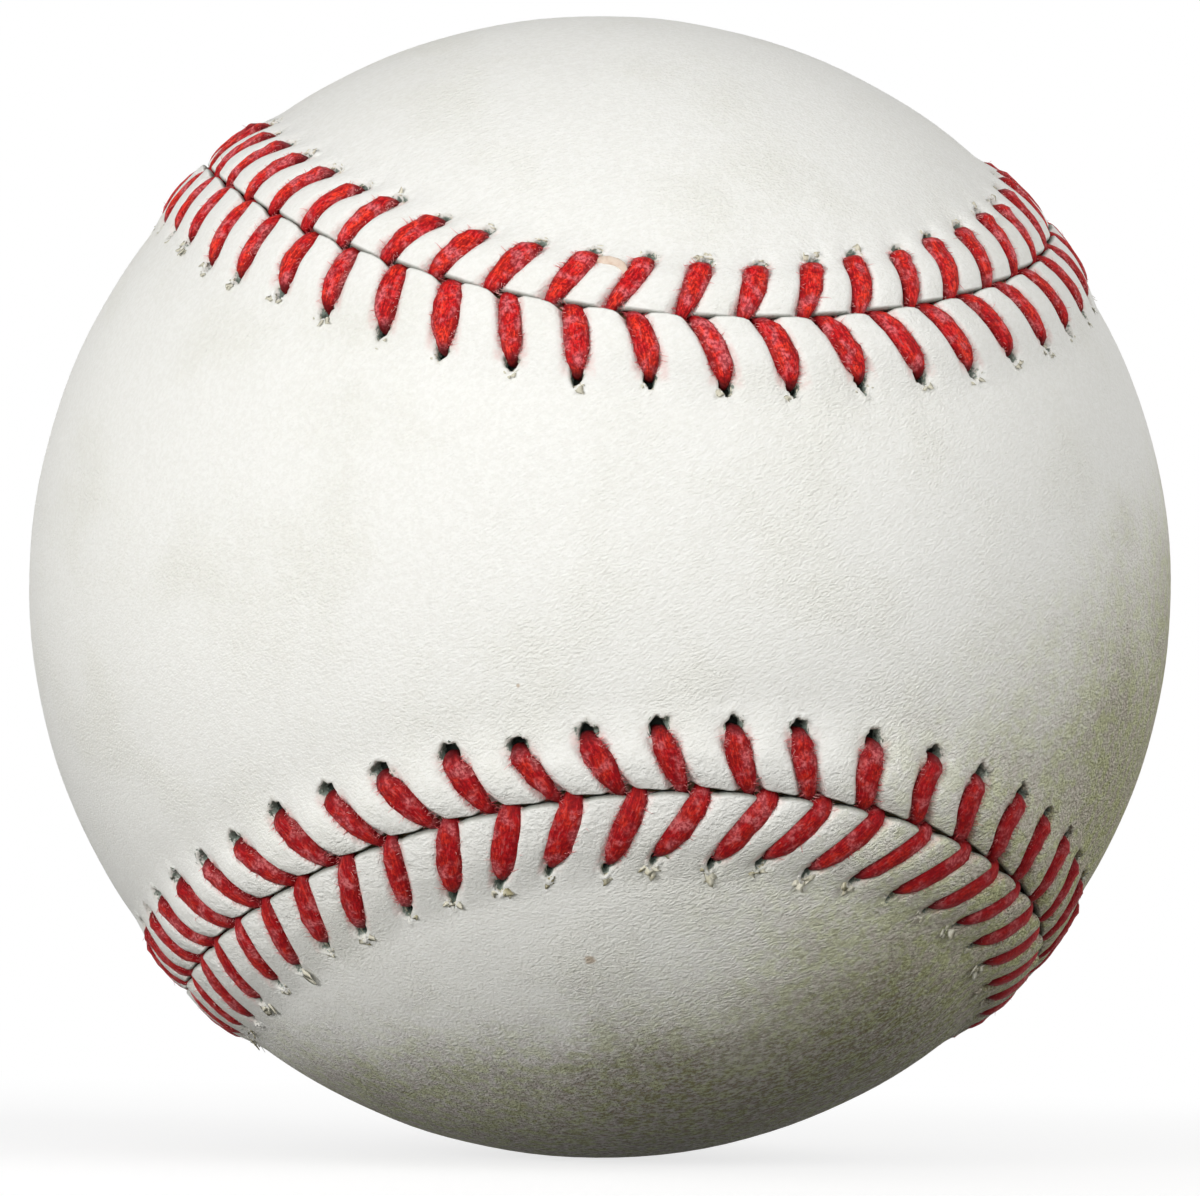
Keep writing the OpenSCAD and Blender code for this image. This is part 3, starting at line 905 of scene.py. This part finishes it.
def threadMaterial():
    mat, tree, shader, where = newMaterial("waxedRedThread", thread["colour"], 0.62, 0.12)
    strand = attribute(tree, "strand").outputs["Vector"]
    leg = attribute(tree, "leg").outputs["Fac"]
    look = useGroup(tree, fibres, Strand=strand, Fineness=7.0)
    soilAndShadeMasks = useGroup(tree, soilAndShade, Vector=where)
    mottle = noiseOf(tree, where, 1000.0, 4.0, 0.6)
    faded = noiseOf(tree, where, 1100.0, 2.0, 0.5)
    speckle = noiseOf(tree, where, 5200.0, 2.0, 0.6)
    flank = sums(tree, "ABSOLUTE", parts(tree, strand)["X"])
    edge = plus(tree, flank, sums(tree, "SUBTRACT", mottle, 0.5))
    colour = blend(tree, ramp(tree, mottle, 0.42, 0.60), thread["colour"], thread["bright"])
    colour = blend(tree, ramp(tree, faded, 0.50, 0.66, 0.0, 0.8), colour, thread["rosy"])
    place = parts(tree, where)
    # painted shade: the thread darkens to crimson towards the bottom and the right side of the ball
    down = ramp(tree, place["Z"], 5 * mm, -18 * mm, 0.0, 0.5)
    beside = ramp(tree, place["X"], 10 * mm, 33 * mm, 0.0, 0.45)
    colour = blend(tree, sums(tree, "MAXIMUM", down, beside), colour, thread["crimson"])
    # painted shade: darker crimson on the flanks of the thread
    colour = blend(tree, ramp(tree, edge, 0.50, 1.0, 0.0, 0.8), colour, thread["crimson"])
    # painted shade in the low fibres, then random darker specks
    colour = blend(tree, ramp(tree, look["Height"], 0.90, 0.70, 0.0, 0.7), colour, thread["crimson"])
    colour = blend(tree, ramp(tree, speckle, 0.56, 0.38, 0.0, 0.7), colour, thread["crimson"])
    rubbed = times(tree, ramp(tree, faded, 0.46, 0.68), ramp(tree, speckle, 0.42, 0.64, 0.1, 0.5))
    rubbed = sums(tree, "MAXIMUM", rubbed, times(tree, look["Worn"], 0.25))
    colour = blend(tree, rubbed, colour, thread["worn"])
    near = plus(tree, leg, times(tree, sums(tree, "SUBTRACT", mottle, 0.5), 0.12))
    # painted shade and dirt where the thread goes into its hole, and painted shade where it goes under the
    # leather at the seam
    colour = blend(tree, ramp(tree, near, 0.0, 0.13, 0.85, 0.0), colour, thread["holeShade"])
    colour = blend(tree, ramp(tree, near, 0.86, 1.0, 0.0, 0.6), colour, thread["crimson"])
    # painted shade on the lower right side and the underside
    shadedThread = times(tree, sums(tree, "MAXIMUM", soilAndShadeMasks["Shaded Side"], soilAndShadeMasks["Shaded Underside"]), 0.5)
    colour = blend(tree, shadedThread, colour, thread["crimson"])
    tree.links.new(colour, shader.inputs["Base Color"])
    bump(tree, shader, plus(tree, look["Height"], speckle), 0.8, 0.05 * mm)
    return mat


# the fuzz on them

fuzz = {
    "colour": (0.72, 0.09, 0.10),
    "pale": (0.86, 0.42, 0.40),
    "each": 8,  # fibres in each row of a leg
    "radius": 0.024 * mm,
    "shortest": 0.20 * mm,
    "usual": 0.10 * mm,  # how much longer than that, on average
    "longest": 0.7 * mm,
    "rooted": 0.92,  # how far out in the thread they start
    "curl": 0.35,
    "rows": 4,
    "sides": 3,
}


def makeFuzz(course, seed):
    pick = np.random.default_rng(seed)
    rows = np.repeat(np.flatnonzero((course["share"] > 0.03) & (course["share"] < 0.98)), fuzz["each"])
    n = len(rows)
    along, width, way = course["course"][rows], course["width"][rows], course["way"][rows]
    outer = course["depth"][rows]
    outer = outer * np.sign((outer * way).sum(-1, keepdims=True))
    turn = pick.triangular(-0.3, 0.1, 1.0, n)
    turn = np.where(pick.random(n) < 0.5, turn, math.pi - turn)  # on the flanks
    c, s = np.cos(turn)[:, None], np.sin(turn)[:, None]
    half, thick = course["half"][rows][:, None], course["thick"][rows][:, None]
    root = course["middle"][rows] + (width * c * half + outer * s * thick) * fuzz["rooted"]
    root = root + along * pick.normal(0, 0.1 * mm, (n, 1))
    normal = unit(width * c / half + outer * s / thick)
    lean = pick.normal(0, 0.6, (n, 1))
    start = unit(along * lean + normal * np.abs(pick.normal(0.5, 0.3, (n, 1))) + width * c * 0.9)
    length = np.minimum(fuzz["shortest"] + pick.exponential(fuzz["usual"], (n, 1)), fuzz["longest"])
    curl = unit(pick.normal(size=(n, 3)) + along * 0.8) * fuzz["curl"] - outer * 0.15
    u = unit(np.cross(start, pick.normal(size=(n, 3))))
    v = np.cross(start, u)
    spokes = np.arange(fuzz["sides"]) * 2 * math.pi / fuzz["sides"]
    points = []
    for t in np.linspace(0, 1, fuzz["rows"]):
        middle = root + start * length * t + curl * length * t * t
        r = fuzz["radius"] * (1 - 0.75 * t)
        points.append(np.stack([middle + (u * math.cos(a) + v * math.sin(a)) * r for a in spokes], 1))
    bm = bmesh.new()
    sheaf(bm, n, fuzz["sides"], np.stack(points, 1))
    return bm


def fuzzMaterial():
    mat, tree, shader, where = newMaterial("redFuzz", fuzz["colour"], 0.8, 0.1)
    look = useGroup(tree, fibres, Strand=where, Fineness=3000.0, **{"Length Share": 1.0})
    soilAndShadeMasks = useGroup(tree, soilAndShade, Vector=where)
    bleached = ramp(tree, noiseOf(tree, where, 900.0, 2.0), 0.4, 0.62)
    colour = blend(tree, bleached, fuzz["colour"], fuzz["pale"])
    # painted shade: darker crimson on the lower right side
    colour = blend(tree, times(tree, soilAndShadeMasks["Shaded Side"], 0.6), colour, thread["crimson"])
    tree.links.new(colour, shader.inputs["Base Color"])
    bump(tree, shader, look["Height"], 0.3, 0.01 * mm)
    return mat


waxedRedThread = threadMaterial()
redFuzz = fuzzMaterial()
for name, first, solid in (("first", 1, "first_needle_thread"), ("second", -1, "second_needle_thread")):
    course = threadCourse(first)
    finished(makeThread(course, first + 5), name + "NeedleThread", solid, "red_thread", waxedRedThread)
    finished(makeFuzz(course, first + 9), name + "NeedleFuzz", slot="red_thread", material=redFuzz)
    print(name, "thread", round(course["length"][-1], 3), "m long")


# a string of dried cement left between two legs of the back panel

smear = {
    "colour": (0.74, 0.61, 0.50),
    "deep": (0.62, 0.45, 0.34),
    "sides": 8,
    # column of the back panel, distance from the seam, half width, half thickness in mm
    "stations": [
        (1.90, 3.45, 0.12, 0.06),
        (1.80, 3.58, 0.24, 0.11),
        (1.65, 3.64, 0.29, 0.13),
        (1.50, 3.58, 0.28, 0.13),
        (1.37, 3.40, 0.27, 0.12),
        (1.27, 3.12, 0.24, 0.11),
        (1.21, 2.80, 0.18, 0.09),
        (1.18, 2.50, 0.08, 0.04)],
}


def makeSmear():
    columns, aside, half, thick = np.array(smear["stations"]).T
    turn = np.arange(smear["sides"]) * 2 * math.pi / smear["sides"]
    middle, _ = leatherPlace(-1, columns, aside * mm)
    up = unit(middle)
    course = unit(np.gradient(middle, axis=0))
    width = unit(np.cross(course, up))
    middle = middle + up * (thick * mm * 0.5)[:, None]
    across = np.cos(turn)[None, :] * half[:, None] * mm
    raised = np.sin(turn)[None, :] * thick[:, None] * mm
    rows = middle[:, None, :] + width[:, None, :] * across[..., None] + up[:, None, :] * raised[..., None]
    bm = bmesh.new()
    sheaf(bm, 1, smear["sides"], rows[None])
    bmesh.ops.subdivide_edges(bm, edges=bm.edges, cuts=1, smooth=1.0, use_grid_fill=True)
    return bm


def smearMaterial():
    mat, tree, shader, where = newMaterial("driedCement", smear["colour"], 0.5, 0.3)
    soilAndShadeMasks = useGroup(tree, soilAndShade, Vector=where, **{"Patch Size": 1800.0})
    colour = blend(tree, soilAndShadeMasks["Patches"], smear["colour"], smear["deep"])
    tree.links.new(colour, shader.inputs["Base Color"])
    bump(tree, shader, noiseOf(tree, where, 2500.0, 3.0), 0.5, 0.04 * mm)
    return mat


finished(makeSmear(), "cementString", slot="cement", material=smearMaterial())


# the pieces inside, where nothing is seen until the ball is opened

inside = {  # colour, the colour of what lies deeper or is mixed in (for the yarns, painted shade in the grooves between strands), and roughness
    "groundCork": ((0.42, 0.24, 0.12), (0.13, 0.07, 0.04), 0.85),
    "blackRubber": ((0.022, 0.022, 0.022), (0.05, 0.05, 0.05), 0.6),
    "redRubber": ((0.40, 0.05, 0.03), (0.28, 0.03, 0.02), 0.55),
    "greyWool": ((0.38, 0.37, 0.35), (0.20, 0.19, 0.18), 0.95),
    "whiteWool": ((0.78, 0.76, 0.70), (0.55, 0.52, 0.45), 0.95),
    "finishingYarn": ((0.82, 0.80, 0.73), (0.58, 0.55, 0.47), 0.9),
    "rubberCement": ((0.62, 0.50, 0.26), (0.42, 0.31, 0.13), 0.35),
}
yarns = {"greyWool": 1.5 * mm, "whiteWool": 1.2 * mm, "finishingYarn": 0.5 * mm}
solidLooks = {
    "cork_centre": "groundCork",
    "upper_black_shell": "blackRubber",
    "lower_black_shell": "blackRubber",
    "red_gasket": "redRubber",
    "red_rubber_layer": "redRubber",
    "first_winding": "greyWool",
    "second_winding": "whiteWool",
    "third_winding": "greyWool",
    "finishing_winding": "finishingYarn",
    "cement_coat": "rubberCement",
}


def insideMaterial(name):
    base, deep, rough = inside[name]
    mat, tree, shader, where = newMaterial(name, base, rough)
    if name in yarns:
        wrap = useGroup(tree, wound, Vector=where, **{"Yarn Width": yarns[name]})
        look = useGroup(tree, fibres, Strand=where, Fineness=2600.0, **{"Length Share": 1.0})
        # painted shade: darker in the grooves between the strands
        colour = blend(tree, sums(tree, "POWER", wrap["Height"], 2.0), deep, base)
        colour = blend(tree, times(tree, wrap["Shade"], 0.3), colour, deep)
        height = plus(tree, wrap["Height"], times(tree, look["Height"], 0.2))
        bump(tree, shader, height, 1.0, yarns[name] * 0.4)
    elif name == "groundCork":
        crumbs = addNode(tree, "TexVoronoi", Vector=where, Scale=700.0)
        colour = blend(tree, ramp(tree, parts(tree, crumbs.outputs["Color"])["X"], 0.2, 0.8), base, deep)
        bump(tree, shader, crumbs.outputs["Distance"], 0.8, 0.3 * mm)
    else:
        grain = noiseOf(tree, where, 700.0 if name == "rubberCement" else 2200.0, 4.0, 0.6)
        colour = blend(tree, ramp(tree, grain, 0.35, 0.7), base, deep)
        bump(tree, shader, grain, 0.5, 0.12 * mm)
    tree.links.new(colour, shader.inputs["Base Color"])
    return mat


insideMaterials = {name: insideMaterial(name) for name in inside}
for solid, name in solidLooks.items():
    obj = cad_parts[solid]
    obj.data.materials.clear()
    obj.data.materials.append(insideMaterials[name])
print("inside dressed")


# floor, light and camera

studio = {
    "lens": 153.2,
    "distance": 332.1 * mm,
    "lift": -0.0092,
    "toCamera": (-0.2022, -0.97717, -0.06516),
    "right": (0.97884, -0.20379, 0.01868),
    "fillAbove": 0.28,  # light of the air on the ball
    "fillBelow": 0.22,
    "floorPaint": (0.30, 0.30, 0.30),
    "floorGlow": 0.74,
    "floorFade": (0.06, 0.16),  # metres from the ball between which it fades into the white round it
    "floorSize": 3,
    "bounce": (0.20, 0.20, 0.18),  # what the floor throws back on the ball
    "floorDrop": 0.02 * mm,
    # degrees to the right of the camera and above it, watts, size
    "lamps": {
        "keyLight": (-38, 12, 2.54, 0.30),
        "frontLight": (-10, 10, 0.65, 0.30),
        "rightLight": (64, 25, 1.68, 0.45)},
    "lampDistance": 0.6,
}
toCamera = Vector(studio["toCamera"]).normalized()
right = Vector(studio["right"]).normalized()
up = toCamera.cross(right).normalized()


def seenRays(tree):  # what the camera or a reflection looks at
    light = addNode(tree, "LightPath").outputs
    mirrored = sums(tree, "MAXIMUM", light["Is Glossy Ray"], light["Is Transmission Ray"])
    return sums(tree, "MAXIMUM", light["Is Camera Ray"], mirrored)


def floorMaterial():
    mat, tree, shader, where = newMaterial("paleFloorPaint", studio["floorPaint"], 0.9)
    away = ramp(tree, vectors(tree, "LENGTH", where)["Value"], *studio["floorFade"])
    glow = addNode(tree, "Emission", Strength=studio["floorGlow"])
    lit = addNode(tree, "AddShader")
    feed(tree, lit.inputs[0], shader.outputs[0])
    feed(tree, lit.inputs[1], glow.outputs[0])
    fade = addNode(tree, "MixShader", Fac=away)
    feed(tree, fade.inputs[1], lit.outputs[0])
    feed(tree, fade.inputs[2], addNode(tree, "Emission", Strength=1.0).outputs[0])
    dim = addNode(tree, "BsdfDiffuse", Color=studio["bounce"])
    pick = addNode(tree, "MixShader", Fac=seenRays(tree))
    feed(tree, pick.inputs[1], dim.outputs[0])
    feed(tree, pick.inputs[2], fade.outputs[0])
    tree.links.new(pick.outputs[0], tree.nodes["Material Output"].inputs["Surface"])
    return mat


def makeFloor():
    bm = bmesh.new()
    bmesh.ops.create_grid(bm, x_segments=1, y_segments=1, size=studio["floorSize"])
    bmesh.ops.translate(bm, vec=(0, 0, -radius - studio["floorDrop"]), verts=bm.verts)
    finished(bm, "paleFloor", material=floorMaterial())


def makeWorld():
    world = bpy.data.worlds.new("studioAir")
    bpy.context.scene.world = world
    world.use_nodes = True
    tree = world.node_tree
    back = tree.nodes["Background"]
    back.inputs["Color"].default_value = (1, 1, 1, 1)
    height = parts(tree, addNode(tree, "TexCoord").outputs["Generated"])["Z"]
    fill = ramp(tree, height, -0.3, 0.6, studio["fillBelow"], studio["fillAbove"])
    strength = addNode(tree, "MapRange", Value=seenRays(tree))
    feed(tree, strength.inputs["To Min"], fill)
    feed(tree, back.inputs["Strength"], strength.outputs[0])


def makeLamp(name, azimuth, elevation, power, size):
    a, e = math.radians(azimuth), math.radians(elevation)
    way = right * (math.sin(a) * math.cos(e)) + up * math.sin(e) + toCamera * (math.cos(a) * math.cos(e))
    lamp = bpy.data.lights.new(name, "AREA")
    lamp.shape = "DISK"
    lamp.size = size
    lamp.energy = power
    obj = bpy.data.objects.new(name, lamp)
    bpy.context.scene.collection.objects.link(obj)
    obj.matrix_world = (Matrix.Translation(way * studio["lampDistance"])
        @ way.to_track_quat("Z", "Y").to_matrix().to_4x4())


def makeCamera():
    camera = bpy.data.cameras.new("camera")
    camera.lens = studio["lens"]
    camera.sensor_width = 36
    camera.shift_y = studio["lift"]
    camera.clip_start = 0.01
    obj = bpy.data.objects.new("camera", camera)
    bpy.context.scene.collection.objects.link(obj)
    obj.matrix_world = (Matrix.Translation(toCamera * studio["distance"])
        @ Matrix((right, up, toCamera)).transposed().to_4x4())
    bpy.context.scene.camera = obj


makeFloor()
makeWorld()
for name, values in studio["lamps"].items():
    makeLamp(name, *values)
makeCamera()
bpy.context.scene.view_settings.view_transform = "Standard"
print("studio set")
